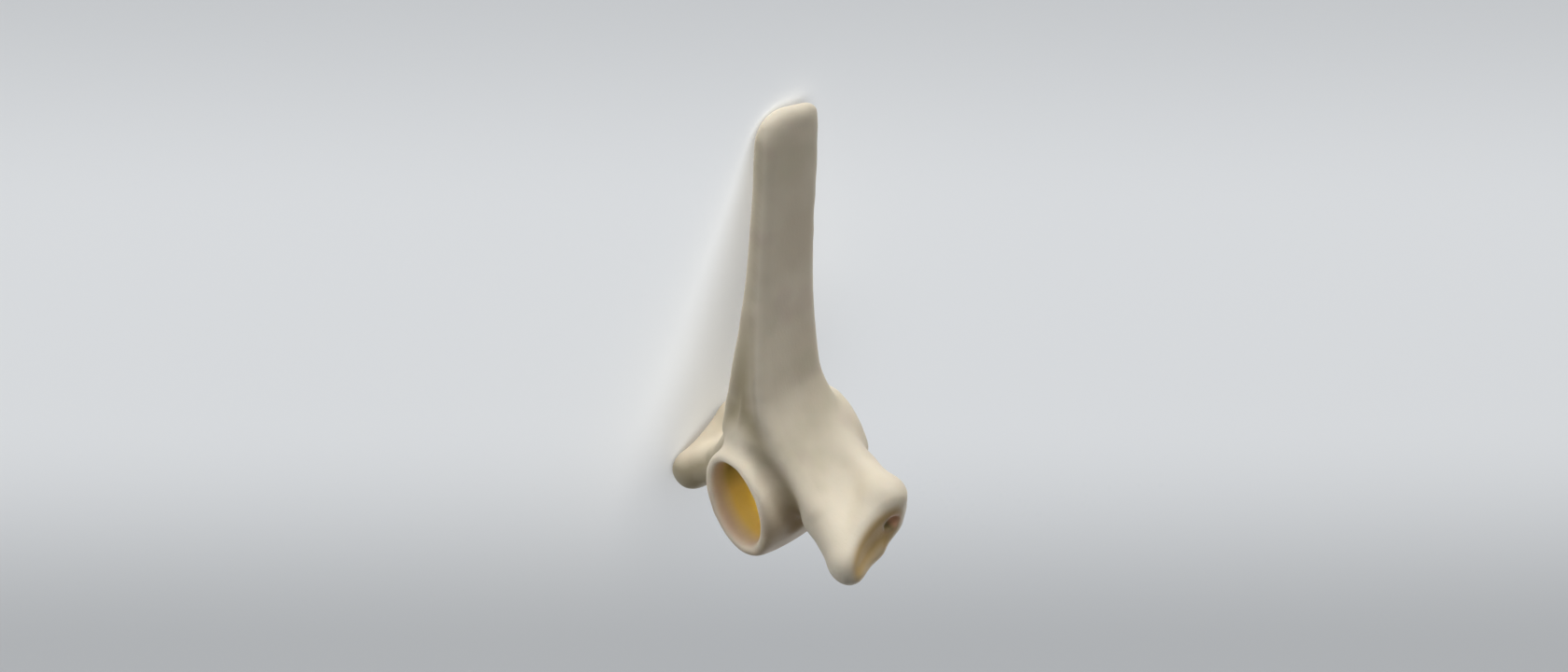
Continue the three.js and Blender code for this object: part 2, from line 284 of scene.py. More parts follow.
@dataclass(frozen=True)
class RibPit:
    """The small deep pit high on the rib facet of each wing, cut with a pinched egg.

    Attributes:
        place_mm: The egg's middle on the bone's left.
        inward: The egg's short way, into the wing.
        along: The egg's long way.
        depth_mm: Its half size inward.
        length_mm: Its half size along.
        width_mm: Its half size across.
    """

    place_mm: Triple = (39.7, 29.8, -3.9)
    inward: Triple = (-0.93, 0.2, 0.3)
    along: Triple = (0.0, 0.9, 0.43)
    depth_mm: float = 1.3
    length_mm: float = 2.9
    width_mm: float = 2.3

    def offset(self, place: Vector) -> Vector:
        """Returns the way from the pit's middle to a place on either side of the bone."""
        return on_left(place) - Vector(self.place_mm)

    def cutter(self, axes: BoneFrame, side: int) -> bpy.types.Object:
        """Makes the egg that cuts the pit.

        Args:
            axes: The bone's axes.
            side: 1 on the bone's left, -1 on its right.

        Returns:
            The egg in its place.
        """
        deselect()
        bpy.ops.mesh.primitive_ico_sphere_add(subdivisions=4, radius=1.0)
        egg = bpy.context.object
        egg.name = "pit_cutter"
        bpy.ops.object.mode_set(mode="EDIT")
        bpy.ops.mesh.select_all(action="SELECT")
        bpy.ops.transform.resize(value=(self.depth_mm, self.length_mm, self.width_mm))
        bpy.ops.object.mode_set(mode="OBJECT")
        inward, along = (axes.way(side * way[0], way[1], way[2]) for way in (self.inward, self.along))
        across = inward.cross(along).normalized()
        turn = Matrix((inward, across.cross(inward), across)).transposed().to_4x4()
        place = axes.at(side * self.place_mm[0], self.place_mm[1], self.place_mm[2])
        egg.data.transform(Matrix.Translation(place) @ turn @ Matrix.Scale(MM, 4))
        return egg


RIB_FACET = RibFacet()
RIB_PIT = RibPit()


@dataclass
class BoneSkin:
    """The fine skin of the whole bone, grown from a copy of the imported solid.

    Attributes:
        axes: The bone's axes.
        weld_mm: Corners of the solid's loose faces nearer than this become one.
        cell_mm: The size of the skin's even faces.
        smoothing: Rounds of smoothing that take the solid's flat faces off.
        pit_smoothing: Rounds of smoothing that soften the pits' cut rims.
        ripple_mm: How far the slow swells of the surface reach.
        ripple_size_mm: How wide the swells are.
        ripple_level: The height of the swells, from 0 to 1, that stays where the skin was.
        crest_mm: How far the crest rises.
        valley_mm: How far the valley moves, negative because it sinks.
        keel_mm: How far the keel is filled.
        facet_rounds: Rounds of smoothing that round the facets' rims over.
        facet_edge: Where the smoothing of a facet fades in, by the distance from its ball's wall.
        pit_guard: Where the same smoothing fades in round a pit, by the distance from its middle.
        piece: The skin.
    """

    axes: BoneFrame
    weld_mm: float = 0.01
    cell_mm: float = 0.55
    smoothing: int = 22
    pit_smoothing: int = 4
    ripple_mm: float = 0.22
    ripple_size_mm: float = 9.0
    ripple_level: float = 0.62
    crest_mm: float = 0.7
    valley_mm: float = -0.9
    keel_mm: float = 0.8
    facet_rounds: int = 70
    facet_edge: Span = (3.5, -1.5)
    pit_guard: Span = (3.2, 2.0)
    piece: bpy.types.Object = field(init=False)

    def build(self) -> bpy.types.Object:
        """Makes the skin.

        Returns:
            The skin, without a finish.
        """
        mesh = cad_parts[NODE].data.copy()
        self.piece = bpy.data.objects.new("vertebra_bone", mesh)
        bpy.context.scene.collection.objects.link(self.piece)
        activate(self.piece)
        bpy.ops.object.mode_set(mode="EDIT")
        bpy.ops.mesh.select_all(action="SELECT")
        bpy.ops.mesh.remove_doubles(threshold=self.weld_mm * MM)
        bpy.ops.object.mode_set(mode="OBJECT")
        self.even(self.smoothing)
        self.cut_pits()
        self.shape_band(CREST, self.crest_mm)
        self.shape_band(VALLEY, self.valley_mm)
        self.soften_facets()
        self.shape_band(KEEL, self.keel_mm)
        self.swell()
        activate(self.piece)
        bpy.ops.object.shade_smooth()
        return self.piece

    def even(self, rounds: int) -> None:
        """Gives the skin even small faces and smooths it a number of rounds."""
        apply_modifier(self.piece, "REMESH", mode="VOXEL", voxel_size=self.cell_mm * MM)
        apply_modifier(self.piece, "SMOOTH", factor=0.5, iterations=rounds)

    def cut_pits(self) -> None:
        """Cuts the pit of each wing's rib facet and softens its rim."""
        for side in (1, -1):
            cutter = RIB_PIT.cutter(self.axes, side)
            apply_modifier(self.piece, "BOOLEAN", operation="DIFFERENCE", object=cutter, solver="EXACT")
            bpy.data.objects.remove(cutter)
        self.even(self.pit_smoothing)

    def weigh(self, weights: list[float]) -> str:
        """Makes a vertex group from one weight for each point.

        Args:
            weights: The weights, where zero leaves a point out.

        Returns:
            The group's name.
        """
        group = self.piece.vertex_groups.new(name="weights")
        for n, weight in enumerate(weights):
            if weight > 0:
                group.add([n], weight, "REPLACE")
        return group.name

    def shape_band(self, band: Band, height_mm: float) -> None:
        """Raises or sinks the skin along a band.

        Args:
            band: Where the skin moves.
            height_mm: How far it rises on the line, or sinks where negative.
        """
        to_bone = self.axes.matrix().inverted()
        group = self.weigh([band.closeness(to_bone @ vertex.co) for vertex in self.piece.data.vertices])
        apply_modifier(self.piece, "DISPLACE", strength=height_mm * MM, mid_level=0.0, vertex_group=group)
        self.piece.vertex_groups.clear()

    def soften_facets(self) -> None:
        """Rounds the rims of the rib facets over, and leaves their pits as they are."""
        to_bone = self.axes.matrix().inverted()
        places = [to_bone @ vertex.co for vertex in self.piece.data.vertices]
        group = self.weigh([fade(RIB_FACET.gap(place), *self.facet_edge)
                            * fade(RIB_PIT.offset(place).length, *self.pit_guard) for place in places])
        apply_modifier(self.piece, "SMOOTH", factor=0.5, iterations=self.facet_rounds, vertex_group=group)
        self.piece.vertex_groups.clear()

    def swell(self) -> None:
        """Gives the surface the slow uneven swells of grown bone."""
        clouds = bpy.data.textures.new("bone_swells", "CLOUDS")
        clouds.noise_scale = self.ripple_size_mm * MM
        clouds.noise_depth = 1
        apply_modifier(self.piece, "DISPLACE", texture=clouds, texture_coords="GLOBAL",
                       strength=self.ripple_mm * MM, mid_level=self.ripple_level)
        bpy.data.textures.remove(clouds)


# How often each map is spread over neighbouring points. The others stay as painted.
BLUR_ROUNDS = {Mask.CREVICE_SHADE: 6, Mask.HOLLOW: 3, Mask.FACET: 12, Mask.PIT: 2, Mask.WEAR: 4}


@dataclass
class SurfaceMaps:
    """Paints, point by point of the bone's skin, where it is hollow, jointed or rubbed, and painted shade
    where it is sheltered or turned from the light.

    The spans that end in _round count in half sizes of the front ring, and those that end in _facing are
    cosines. The others are in the bone's millimetres.

    Attributes:
        axes: The bone's axes.
        ring_half_width_mm: Half the ring's width.
        ring_half_height_mm: Half its height.
        hollow_round: Where the hollow begins inside the ring.
        hollow_depth: Where it begins from the front.
        hollow_end_mm: Where it ends towards the tail.
        lip_round: Where the rosy lip begins inside the ring.
        lip_depth: Where it begins from the front.
        lip_end_mm: Where it ends towards the tail.
        wall_round: Where the painted shade of the ring's outer wall begins.
        wall_far_round: Where it fades out, away from the ring.
        wall_front: Where it begins from the front.
        wall_tail: Where it fades out towards the tail.
        wall_low: Where it begins down the ring.
        spine_rise: Where the painted shade of the spine's front face begins up the spine.
        spine_facing: How straight to the front that face has to look.
        spine_shade_share: The strength of that painted shade.
        right_wing_shade_out: Where the painted shade begins on the right wing.
        right_wing_shade_facing: How far a face has to turn from the spine's top to take it.
        hollow_shade_rise: Where the painted shade begins up the hollow, towards its roof.
        hollow_shade_depth: Where it begins towards the tail.
        hollow_shade_share: Its strength.
        hollow_shade_deep_share: The part of that strength that its depth alone gives.
        facet_edge: Where a facet's stain begins, by the distance from its ball's wall.
        pit_edge: Where a pit's tint begins, by the distance from its middle.
        pit_head: Where a pit's shade begins, along it.
        wear_gain: The wear for each metre that a point stands out from its neighbours.
        reach_mm: How far away bone still shelters a point.
        lift_mm: How far above the skin the rays start.
        far_loss: The part of its shelter that bone at the end of that reach has lost.
        rays: The number of rays for each point.
    """

    axes: BoneFrame
    ring_half_width_mm: float = 10.8
    ring_half_height_mm: float = 14.9
    hollow_round: Span = (1.06, -0.1)
    hollow_depth: Span = (3.4, 4.5)
    hollow_end_mm: float = 22.0
    lip_round: Span = (1.12, -0.12)
    lip_depth: Span = (-0.5, 2.0)
    lip_end_mm: float = 12.0
    wall_round: Span = (1.06, 0.12)
    wall_far_round: Span = (1.75, -0.3)
    wall_front: Span = (-1.5, 3.0)
    wall_tail: Span = (26.0, -8.0)
    wall_low: Span = (9.0, -13.0)
    spine_rise: Span = (18.0, 14.0)
    spine_facing: Span = (0.62, 0.33)
    spine_shade_share: float = 0.5
    right_wing_shade_out: Span = (14.0, 10.0)
    right_wing_shade_facing: Span = (0.95, -0.6)
    hollow_shade_rise: Span = (-3.5, 10.0)
    hollow_shade_depth: Span = (14.0, 8.0)
    hollow_shade_share: float = 0.85
    hollow_shade_deep_share: float = 0.7
    facet_edge: Span = (1.5, -1.0)
    pit_edge: Span = (4.2, -1.6)
    pit_head: Span = (0.8, -1.6)
    wear_gain: float = 12000.0
    reach_mm: float = 16.0
    lift_mm: float = 0.3
    far_loss: float = 0.6
    rays: int = 20

    def paint(self, piece: bpy.types.Object) -> None:
        """Writes every map to the piece.

        Args:
            piece: The bone's skin.
        """
        mesh = piece.data
        to_bone = self.axes.matrix().inverted()
        tree = BVHTree.FromPolygons([v.co for v in mesh.vertices], [p.vertices for p in mesh.polygons])
        fan = self.fan()
        front, back = self.axes.way(0, -1, 0), self.axes.way(0, 0, 1)
        maps: dict[Mask, list[float]] = {mask: [] for mask in Mask}
        for vertex in mesh.vertices:
            place = to_bone @ vertex.co
            ahead, upwards = vertex.normal.dot(front), vertex.normal.dot(back)
            hollow, pit = self.hollow(place), self.pit(place)
            values = {
                # Painted shade: darker where other bone covers the sky over a point.
                Mask.CREVICE_SHADE: self.shelter(tree, vertex.co, vertex.normal, fan),
                Mask.HOLLOW: hollow,
                # Painted shade in the hollow's roof and towards the canal.
                Mask.HOLLOW_SHADE: hollow * self.hollow_shade(place),
                Mask.FACET: fade(RIB_FACET.gap(place), *self.facet_edge),
                Mask.PIT: pit,
                Mask.PIT_ROOF: pit * self.pit_roof(place),
                # Painted shade on faces turned to the belly and on the spine's front face.
                Mask.UNDERSIDE_SHADE: min(max(-upwards, self.spine_front_shade(place, ahead), 0), 1),
                Mask.LIP: self.lip(place, hollow),
                # Painted shade low on the ring's outer wall.
                Mask.RING_WALL_SHADE: self.ring_wall_shade(place),
                # Painted shade on the right wing's faces turned from the spine's top.
                Mask.RIGHT_WING_SHADE: self.right_wing_shade(place, upwards),
                # Painted shade in the valley between the crest and the ring.
                Mask.VALLEY: VALLEY_SHADE.closeness(place) * (1 - CREST.closeness(place)),
            }
            for mask, value in values.items():
                maps[mask].append(value)
        maps[Mask.WEAR] = self.wear(mesh)
        for mask, rounds in BLUR_ROUNDS.items():
            self.blur(mesh, maps[mask], rounds)
        for mask, values in maps.items():
            mesh.attributes.new(mask.value, "FLOAT", "POINT").data.foreach_set("value", values)

    def fan(self) -> list[Vector]:
        """Spreads directions evenly over the half ball round +Z.

        Returns:
            One unit direction for each ray.
        """
        turn = math.pi * (3 - math.sqrt(5))
        ways = []
        for n in range(self.rays):
            rise = 1 - (n + 0.5) / self.rays
            level = math.sqrt(1 - rise * rise)
            ways.append(Vector((level * math.cos(turn * n), level * math.sin(turn * n), rise)))
        return ways

    def shelter(self, tree: BVHTree, point: Vector, normal: Vector, fan: list[Vector]) -> float:
        """Measures how much of the sky over a point other bone covers, near bone counting most.

        Args:
            tree: The whole bone's faces.
            point: The point in the row frame.
            normal: The way that the skin faces there.
            fan: The directions that are looked in, round +Z.

        Returns:
            0 in the open and about 1 deep in a crevice.
        """
        turn = Vector((0, 0, 1)).rotation_difference(normal)
        start = point + normal * (self.lift_mm * MM)
        covered = 0.0
        for way in fan:
            hit = tree.ray_cast(start, turn @ way, self.reach_mm * MM)
            if hit[3] is not None:
                covered += way.z * (1 - self.far_loss * hit[3] / (self.reach_mm * MM))
        return covered / (0.5 * len(fan))

    def around(self, place: Vector) -> float:
        """Returns how far a place lies from the ring's middle line, as a share of the ring's half size."""
        return math.hypot(place.x / self.ring_half_width_mm, place.z / self.ring_half_height_mm)

    def hollow(self, place: Vector) -> float:
        """Returns 1 in the ring's hollow and 0 outside it."""
        inside = fade(self.around(place), *self.hollow_round)
        return inside * fade(place.y, *self.hollow_depth) * (place.y < self.hollow_end_mm)

    def lip(self, place: Vector, hollow: float) -> float:
        """Returns 1 on the rosy wall just inside the ring's lip, where the hollow doesn't cover it."""
        inside = fade(self.around(place), *self.lip_round) * (place.y < self.lip_end_mm)
        return inside * fade(place.y, *self.lip_depth) * (1 - hollow)

    def ring_wall_shade(self, place: Vector) -> float:
        """Tells how far a point lies on the ring's outer wall, low down, where shade is painted.

        Args:
            place: The point, in the bone's millimetres.

        Returns:
            1 on that wall and 0 off it.
        """
        around = self.around(place)
        wall = fade(around, *self.wall_round) * fade(around, *self.wall_far_round)
        length = fade(place.y, *self.wall_front) * fade(place.y, *self.wall_tail)
        return wall * length * fade(place.z, *self.wall_low)

    def spine_front_shade(self, place: Vector, ahead: float) -> float:
        """Returns how far a point takes the faint painted shade of the spine's front face."""
        return self.spine_shade_share * fade(place.z, *self.spine_rise) * fade(ahead, *self.spine_facing)

    def right_wing_shade(self, place: Vector, upwards: float) -> float:
        """Returns how much painted shade a point takes on the bone's right wing, where it turns from the
        spine's top.
        """
        return fade(-place.x, *self.right_wing_shade_out) * fade(upwards, *self.right_wing_shade_facing)

    def hollow_shade(self, place: Vector) -> float:
        """Returns how dark the painted shade in the hollow is, most of all at its top and towards the canal.
        """
        rise, depth = fade(place.z, *self.hollow_shade_rise), fade(place.y, *self.hollow_shade_depth)
        return self.hollow_shade_share * max(rise, self.hollow_shade_deep_share * depth)

    def pit(self, place: Vector) -> float:
        """Returns 1 in the pit of a rib facet and 0 outside it."""
        return fade(RIB_PIT.offset(place).length, *self.pit_edge)

    def pit_roof(self, place: Vector) -> float:
        """Returns 1 at the head end of a pit, which lies in shade, and 0 at its tail end."""
        return fade(RIB_PIT.offset(place).dot(Vector(RIB_PIT.along)), *self.pit_head)

    def wear(self, mesh: bpy.types.Mesh) -> list[float]:
        """Measures how sharply each point stands out from its neighbours, where handling rubs the bone pale.

        Args:
            mesh: The bone's mesh.

        Returns:
            The map, from 0 to 1.
        """
        sums = [Vector((0, 0, 0)) for _ in mesh.vertices]
        counts = [0] * len(mesh.vertices)
        for edge in mesh.edges:
            one, two = edge.vertices
            sums[one] += mesh.vertices[two].co
            sums[two] += mesh.vertices[one].co
            counts[one] += 1
            counts[two] += 1
        return [fade((v.co - total / count).dot(v.normal) * self.wear_gain, 0, 1)
                for v, total, count in zip(mesh.vertices, sums, counts)]

    def blur(self, mesh: bpy.types.Mesh, values: list[float], rounds: int) -> None:
        """Spreads a map over neighbouring points.

        Args:
            mesh: The bone's mesh.
            values: The map, changed in place.
            rounds: How often each point takes half of its neighbours' mean.
        """
        pairs = [tuple(edge.vertices) for edge in mesh.edges]
        counts = [0] * len(values)
        for one, two in pairs:
            counts[one] += 1
            counts[two] += 1
        for _ in range(rounds):
            sums = [0.0] * len(values)
            for one, two in pairs:
                sums[one] += values[two]
                sums[two] += values[one]
            for n, total in enumerate(sums):
                values[n] = 0.5 * values[n] + 0.5 * total / counts[n]


@dataclass(frozen=True)
class Patches:
    """Soft patches of another tone in the bone's shell.

    Attributes:
        color: Their colour.
        size_mm: The size of a patch.
        low: Noise under this shows nothing of them.
        high: Noise over this shows the most of them.
        share: How much of the colour below they cover at the most.
        shift: Moves the pattern, so that no two sets of patches agree.
    """

    color: str
    size_mm: float
    low: float
    high: float
    share: float
    shift: Triple


@dataclass(frozen=True)
class StainOrShade:
    """A layer of stain or of painted shade that follows a painted map.

    Attributes:
        mask: The map.
        color: The layer's colour.
        share: How much of the colour below it covers at the most.
        rise: The map's values between which it grows softly, or none where it follows the map as it is.
    """

    mask: Mask
    color: str
    share: float = 1.0
    rise: tuple[float, float] | None = None


@dataclass(frozen=True)
class Bump:
    """The strength and the height of one fine relief."""

    strength: float
    height_mm: float


@dataclass(frozen=True)
class DryBone:
    """Dry, cleaned cortical bone: cream and satin, with painted shade where it is sheltered or turned from
    the light.

    Attributes:
        axes: The bone's axes.
        cream: The bone's own colour.
        patches: Its warm, olive and rosy patches.
        stains_and_shade: Its stains and its painted shade, from the lowest to the uppermost.
        roughness: The middle of its roughness.
        roughness_spread: How far the roughness falls and rises from there.
        roughness_patch_mm: The size of the patches of other roughness.
        grain_mm: The length and the width of the grain's hairs.
        pore_gap_mm: The distance between pores.
        pore_rim: Where a pore's wall starts and ends from its middle, as shares of that distance.
        dust_mm: The size of the finest unevenness.
        grain: The relief of the grain.
        pores: The relief of the pores.
        dust: The relief of the finest unevenness.
    """

    axes: BoneFrame
    cream: str = "#f1e5ce"
    patches: tuple[Patches, ...] = (
        Patches("#e3d4bc", 22, low=0.4, high=0.7, share=0.6, shift=(0.1, 0.2, 0.3)),
        Patches("#dcd3b8", 16, low=0.5, high=0.75, share=0.5, shift=(0.7, 0.1, 0.5)),
        Patches("#e2cfbf", 18, low=0.52, high=0.75, share=0.55, shift=(0.3, 0.9, 0.2)),
    )
    stains_and_shade: tuple[StainOrShade, ...] = (
        # The crevice, valley, underside, right wing, ring wall, hollow roof and pit roof layers are painted
        # shade.
        StainOrShade(Mask.CREVICE_SHADE, "#6f5e30", share=0.85, rise=(0.12, 0.75)),
        StainOrShade(Mask.VALLEY, "#8a7b50", share=0.6),
        StainOrShade(Mask.UNDERSIDE_SHADE, "#93825a", share=0.75, rise=(0.05, 0.9)),
        StainOrShade(Mask.RIGHT_WING_SHADE, "#94865f", share=0.7),
        StainOrShade(Mask.RING_WALL_SHADE, "#a58b66", share=0.7),
        StainOrShade(Mask.LIP, "#dcbc9c", share=0.75),
        StainOrShade(Mask.FACET, "#cfa960", share=0.85),
        StainOrShade(Mask.HOLLOW, "#ffdc66"),
        StainOrShade(Mask.HOLLOW_SHADE, "#52460f"),
        StainOrShade(Mask.PIT, "#f0b890"),
        StainOrShade(Mask.PIT_ROOF, "#a39060"),
        StainOrShade(Mask.WEAR, "#f6eedd", share=0.35),
    )
    roughness: float = 0.5
    roughness_spread: tuple[float, float] = (-0.06, 0.08)
    roughness_patch_mm: float = 1000 / 180
    grain_mm: tuple[float, float] = (6.0, 0.9)
    pore_gap_mm: float = 1.5
    pore_rim: tuple[float, float] = (0.08, 0.22)
    dust_mm: float = 0.7
    grain: Bump = Bump(strength=0.25, height_mm=0.12)
    pores: Bump = Bump(strength=0.2, height_mm=0.08)
    dust: Bump = Bump(strength=0.2, height_mm=0.08)

    def material(self, name: str) -> bpy.types.Material:
        """Makes the finish.

        Args:
            name: The material's name.

        Returns:
            The material.
        """
        # Cleaned and dried bone: a hard cream shell with a soft sheen, faint blotches, fine pores and grain.
        material = bpy.data.materials.new(name)
        material.use_nodes = True
        tree = material.node_tree
        shader = tree.nodes["Principled BSDF"]
        place = add_node(tree, "TexCoord").outputs["Object"]
        tree.links.new(self.stained_and_shaded(tree, self.patched(tree, place)), shader.inputs["Base Color"])
        set_inputs(shader, {"IOR": 1.5, "Specular IOR Level": 0.35, "Subsurface Weight": 0.08,
                            "Subsurface Radius": (1.0, 0.6, 0.35), "Subsurface Scale": 1.2 * MM})
        rough = add_node(tree, "TexNoise", {"Vector": place, "Scale": 1 / (self.roughness_patch_mm * MM),
                                            "Detail": 3.0})
        smoothest, roughest = (self.roughness + change for change in self.roughness_spread)
        spread = add_node(tree, "MapRange", {"Value": rough.outputs["Fac"], "To Min": smoothest,
                                             "To Max": roughest})
        tree.links.new(spread.outputs["Result"], shader.inputs["Roughness"])
        tree.links.new(self.relief(tree, place), shader.inputs["Normal"])
        return material

    def cover(self, tree: bpy.types.NodeTree, amount: bpy.types.NodeSocket, lower: object,
              upper: str) -> bpy.types.NodeSocket:
        """Lays one colour over another.

        Args:
            tree: The node tree.
            amount: How much of the upper colour shows.
            lower: The lower colour, as a socket or as linear values.
            upper: The upper colour as a hex colour.

        Returns:
            The mixed colour.
        """
        node = add_node(tree, "Mix", {"0": amount, "6": lower, "7": linear(upper)}, data_type="RGBA")
        return node.outputs[2]

    def patched(self, tree: bpy.types.NodeTree, place: bpy.types.NodeSocket) -> bpy.types.NodeSocket:
        """Lays the faint patches over the cream.

        Args:
            tree: The node tree.
            place: The bone's own coordinates.

        Returns:
            The colour.
        """
        color = linear(self.cream)
        for patch in self.patches:
            moved = add_node(tree, "Mapping", {"Vector": place, "Location": patch.shift})
            noise = add_node(tree, "TexNoise", {"Vector": moved.outputs["Vector"],
                                                "Scale": 1 / (patch.size_mm * MM),
                                                "Detail": 2.0, "Roughness": 0.45})
            amount = add_node(tree, "MapRange", {"Value": noise.outputs["Fac"], "From Min": patch.low,
                                                 "From Max": patch.high, "To Max": patch.share},
                              interpolation_type="SMOOTHSTEP")
            color = self.cover(tree, amount.outputs["Result"], color, patch.color)
        return color

    def stained_and_shaded(self, tree: bpy.types.NodeTree, color: bpy.types.NodeSocket) -> bpy.types.NodeSocket:
        """Lays the stains and the painted shade over a colour, each by its painted map.

        Args:
            tree: The node tree.
            color: The colour below.

        Returns:
            The stained colour.
        """
        for stain_or_shade in self.stains_and_shade:
            amount = add_node(tree, "Attribute", attribute_name=stain_or_shade.mask.value).outputs["Fac"]
            if stain_or_shade.rise:
                start, end = stain_or_shade.rise
                amount = add_node(tree, "MapRange", {"Value": amount, "From Min": start, "From Max": end,
                                                     "To Max": stain_or_shade.share},
                                  interpolation_type="SMOOTHSTEP").outputs["Result"]
            elif stain_or_shade.share < 1:
                amount = add_node(tree, "Math", {"0": amount, "1": stain_or_shade.share},
                                  operation="MULTIPLY").outputs[0]
            color = self.cover(tree, amount, color, stain_or_shade.color)
        return color

    def relief(self, tree: bpy.types.NodeTree, place: bpy.types.NodeSocket) -> bpy.types.NodeSocket:
        """Roughens the surface with fine grain along the spine, pores and dust.

        Args:
            tree: The node tree.
            place: The bone's own coordinates.

        Returns:
            The roughened normal.
        """
        # The grain's hairs run along the spine, and are drawn wider than in life, so that they show.
        length, width = self.grain_mm
        turned = add_node(tree, "Mapping", {"Vector": place, "Scale": (1 / length, 1 / width, 1 / width),
                                            "Rotation": (0, math.radians(self.axes.dip_deg), 0)})
        grain = add_node(tree, "TexNoise", {"Vector": turned.outputs["Vector"], "Scale": 1 / MM,
                                            "Detail": 2.0})
        # The pores are pinpricks, also drawn coarser than in life.
        pores = add_node(tree, "TexVoronoi", {"Vector": place, "Scale": 1 / (self.pore_gap_mm * MM),
                                              "Randomness": 1.0})
        start, end = self.pore_rim
        prick = add_node(tree, "MapRange", {"Value": pores.outputs["Distance"], "From Min": start,
                                            "From Max": end}, interpolation_type="SMOOTHSTEP")
        dust = add_node(tree, "TexNoise", {"Vector": place, "Scale": 1 / (self.dust_mm * MM), "Detail": 3.0})
        normal = {}
        for height, bump in ((grain.outputs["Fac"], self.grain), (prick.outputs["Result"], self.pores),
                             (dust.outputs["Fac"], self.dust)):
            node = add_node(tree, "Bump", {"Height": height, "Strength": bump.strength,
                                           "Distance": bump.height_mm * MM, **normal})
            normal = {"Normal": node.outputs["Normal"]}
        return normal["Normal"]


@dataclass(frozen=True)
class FrostedAcrylic:
    """Frosted acrylic over a weak light table: pale and matt, with a slow sweep of light round a far pivot.

    Attributes:
        color: Its own colour.
        glow_color: The colour of the light in it.
        roughness: Its roughness.
        specular: Its gloss.
        pivot: The point on the floor that the sweep of light turns round, in metres.
        sweep_deg: The angles round the pivot between which the light changes.
        glows: The light's strength by the share of the way between those angles.
    """

    color: str = "#d6d9dc"
    glow_color: str = "#e9ebed"
    roughness: float = 0.9
    specular: float = 0.1
    pivot: tuple[float, float] = (0.352, 0.577)
    sweep_deg: tuple[float, float] = (20.0, 44.0)
    glows: tuple[tuple[float, float], ...] = ((0.0, 0.13), (0.36, 0.31), (0.62, 0.3), (0.95, 0.0))

    def material(self, name: str) -> bpy.types.Material:
        """Makes the finish.

        Args:
            name: The material's name.

        Returns:
            The material.
        """
        # Frosted acrylic on a weak light table: pale and matt, with a glow that changes slowly across it.
        material = bpy.data.materials.new(name)
        material.use_nodes = True
        tree = material.node_tree
        shader = tree.nodes["Principled BSDF"]
        set_inputs(shader, {"Base Color": linear(self.color), "Roughness": self.roughness,
                            "Specular IOR Level": self.specular, "Emission Color": linear(self.glow_color)})
        split = add_node(tree, "SeparateXYZ", {"Vector": add_node(tree, "TexCoord").outputs["Object"]})
        across, along = (add_node(tree, "Math", {"0": start, "1": split.outputs[axis]}, operation="SUBTRACT")
                         for start, axis in zip(self.pivot, "XY"))
        angle = add_node(tree, "Math", {"0": across.outputs[0], "1": along.outputs[0]}, operation="ARCTAN2")
        start, end = (math.radians(degrees) for degrees in self.sweep_deg)
        share = add_node(tree, "MapRange", {"Value": angle.outputs[0], "From Min": start, "From Max": end})
        ramp = add_node(tree, "ValToRGB", {"Fac": share.outputs["Result"]})
        ramp.color_ramp.interpolation = "EASE"
        while len(ramp.color_ramp.elements) < len(self.glows):
            ramp.color_ramp.elements.new(0.5)
        for element, (position, glow) in zip(ramp.color_ramp.elements, self.glows):
            element.position = position
            element.color = (glow, glow, glow, 1)
        tree.links.new(ramp.outputs["Color"], shader.inputs["Emission Strength"])
        return material


@dataclass(frozen=True)
class FarLight:
    """A broad far light.

    Attributes:
        name: Its name.
        way: The direction towards it.
        spread_deg: How wide it is, as seen from the bone.
        power: Its strength.
    """

    name: str
    way: Triple
    spread_deg: float
    power: float


@dataclass(frozen=True)
class HollowLamp:
    """A small lamp that looks into the front ring's hollow.

    Attributes:
        way: The direction towards it from the ring's middle.
        distance: How far from there it stands, in metres.
        cone_deg: The width of its cone.
        blend: How softly the cone ends.
        radius: Its own radius, in metres.
        power: Its strength.
    """

    way: Triple = (0.6, 0.77, 0.12)
    distance: float = 0.35
    cone_deg: float = 5.2
    blend: float = 0.7
    radius: float = 0.02
    power: float = 1.1


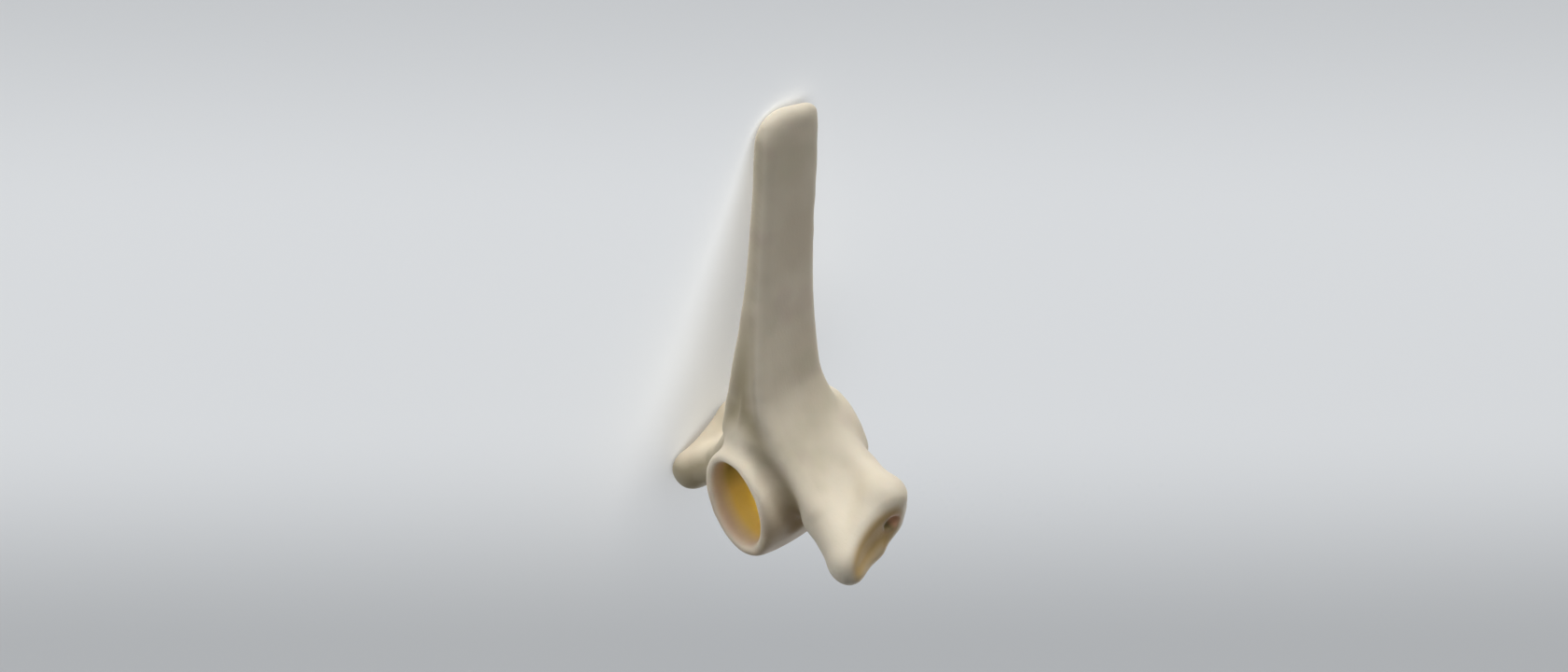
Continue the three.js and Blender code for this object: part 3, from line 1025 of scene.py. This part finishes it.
@dataclass
class Studio:
    """The pale floor, the soft lights and the camera at the photograph's angle.

    Attributes:
        axes: The bone's axes.
        bone: The dressed bone.
        camera_mm: The camera's place on the bone's axes.
        picture_up: The picture's upward way on them.
        backwards: The way on them from the bone to the camera.
        lens_mm: The camera's focal length.
        floor_size: The floor's width in metres.
        floor_wash: The light that the floor alone takes.
        table_glow: The bone's main light, from the picture's top and so from just under the floor's level.
        back_fill: The weak light on the bone's other side.
        hollow_lamp: The lamp in front of the ring.
        sky: The colour of the weak light from all round.
        sky_strength: Its strength.
    """

    axes: BoneFrame
    bone: bpy.types.Object
    camera_mm: Triple = (385.58, -267.27, 345.52)
    picture_up: Triple = (-0.3289, 0.4199, 0.8459)
    backwards: Triple = (0.6768, -0.5199, 0.5212)
    lens_mm: float = 42.857
    floor_size: float = 80.0
    floor_wash: FarLight = FarLight("floor_wash", (0.4, 0.35, 0.85), spread_deg=70, power=1.9)
    table_glow: FarLight = FarLight("table_glow", (0.93, -0.27, -0.09), spread_deg=50, power=1.9)
    back_fill: FarLight = FarLight("back_fill", (-0.82, -0.52, 0.08), spread_deg=54, power=1.3)
    hollow_lamp: HollowLamp = HollowLamp()
    sky: str = "#f2f4f6"
    sky_strength: float = 0.145

    def build(self) -> None:
        """Makes the floor, the lights and the camera."""
        bpy.context.scene.view_settings.view_transform = "Standard"
        self.camera()
        self.sun(self.floor_wash, [self.floor()])
        # The floor would shade a light from under its level, so the bone alone shades this one.
        self.sun(self.table_glow, [self.bone], [self.bone])
        self.sun(self.back_fill, [self.bone])
        self.lamp()
        self.world()

    def floor(self) -> bpy.types.Object:
        """Lays the pale floor under the bone.

        Returns:
            The floor.
        """
        deselect()
        bpy.ops.mesh.primitive_plane_add(size=self.floor_size, location=(0, 0, 0))
        floor = bpy.context.object
        floor.name = "floor"
        floor.data.materials.append(FrostedAcrylic().material("frosted_light_table"))
        return floor

    def camera(self) -> None:
        """Sets the camera where the photograph was taken from, fixed to the bone and not to the floor."""
        backwards, up = self.axes.way(*self.backwards), self.axes.way(*self.picture_up)
        right = up.cross(backwards).normalized()
        turn = Matrix((right, backwards.cross(right), backwards)).transposed()
        data = bpy.data.cameras.new("camera")
        data.lens = self.lens_mm
        data.sensor_width = 36.0
        data.sensor_fit = "HORIZONTAL"
        data.clip_start, data.clip_end = 0.01, 200.0
        camera = bpy.data.objects.new("camera", data)
        camera.matrix_world = Matrix.Translation(self.axes.at(*self.camera_mm)) @ turn.to_4x4()
        bpy.context.scene.collection.objects.link(camera)
        bpy.context.scene.camera = camera

    def hang(self, data: bpy.types.Light, way: Triple) -> bpy.types.Object:
        """Adds a light to the scene, turned to shine against a direction.

        Args:
            data: The light's settings, whose name it takes.
            way: The direction towards the light.

        Returns:
            The light's object.
        """
        light = bpy.data.objects.new(data.name, data)
        light.rotation_euler = (-Vector(way)).to_track_quat("-Z", "Y").to_euler()
        bpy.context.scene.collection.objects.link(light)
        return light

    def sun(self, far: FarLight, takers: list[bpy.types.Object],
            blockers: list[bpy.types.Object] | None = None) -> None:
        """Adds a broad far light that lights the named objects alone.

        Args:
            far: The light's settings.
            takers: The objects that take the light.
            blockers: The only objects that shade it, or none where all of them do.
        """
        data = bpy.data.lights.new(far.name, "SUN")
        data.energy = far.power
        data.angle = math.radians(far.spread_deg)
        light = self.hang(data, far.way)
        light.light_linking.receiver_collection = self.group(far.name + "_takers", takers)
        if blockers:
            light.light_linking.blocker_collection = self.group(far.name + "_blockers", blockers)

    def group(self, name: str, pieces: list[bpy.types.Object]) -> bpy.types.Collection:
        """Collects objects for a light's links.

        Args:
            name: The collection's name.
            pieces: The objects.

        Returns:
            The collection, which is in no scene.
        """
        links = bpy.data.collections.new(name)
        for piece in pieces:
            links.objects.link(piece)
        return links

    def lamp(self) -> None:
        """Adds the small lamp that looks into the ring's hollow."""
        data = bpy.data.lights.new("hollow_lamp", "SPOT")
        data.energy = self.hollow_lamp.power
        data.spot_size, data.spot_blend = math.radians(self.hollow_lamp.cone_deg), self.hollow_lamp.blend
        data.shadow_soft_size = self.hollow_lamp.radius
        lamp = self.hang(data, self.hollow_lamp.way)
        lamp.location = self.axes.at(0, 0, 0) + self.hollow_lamp.distance * Vector(self.hollow_lamp.way)

    def world(self) -> None:
        """Adds the weak even light from all round."""
        world = bpy.data.worlds.new("studio")
        world.use_nodes = True
        background = world.node_tree.nodes["Background"]
        set_inputs(background, {"Color": linear(self.sky), "Strength": self.sky_strength})
        bpy.context.scene.world = world


def main() -> None:
    """Builds the bone, its finish and its studio."""
    logging.basicConfig(level=logging.INFO, format="%(name)s: %(message)s")
    axes = BoneFrame()
    bone = BoneSkin(axes).build()
    SurfaceMaps(axes).paint(bone)
    bone.data.materials.clear()
    bone.data.materials.append(DryBone(axes).material("dry_bone"))
    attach(bone, "root")
    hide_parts(NODE)
    LOG.info("%s: %d faces", bone.name, len(bone.data.polygons))
    Studio(axes, bone).build()


if __name__ == "__main__":
    main()
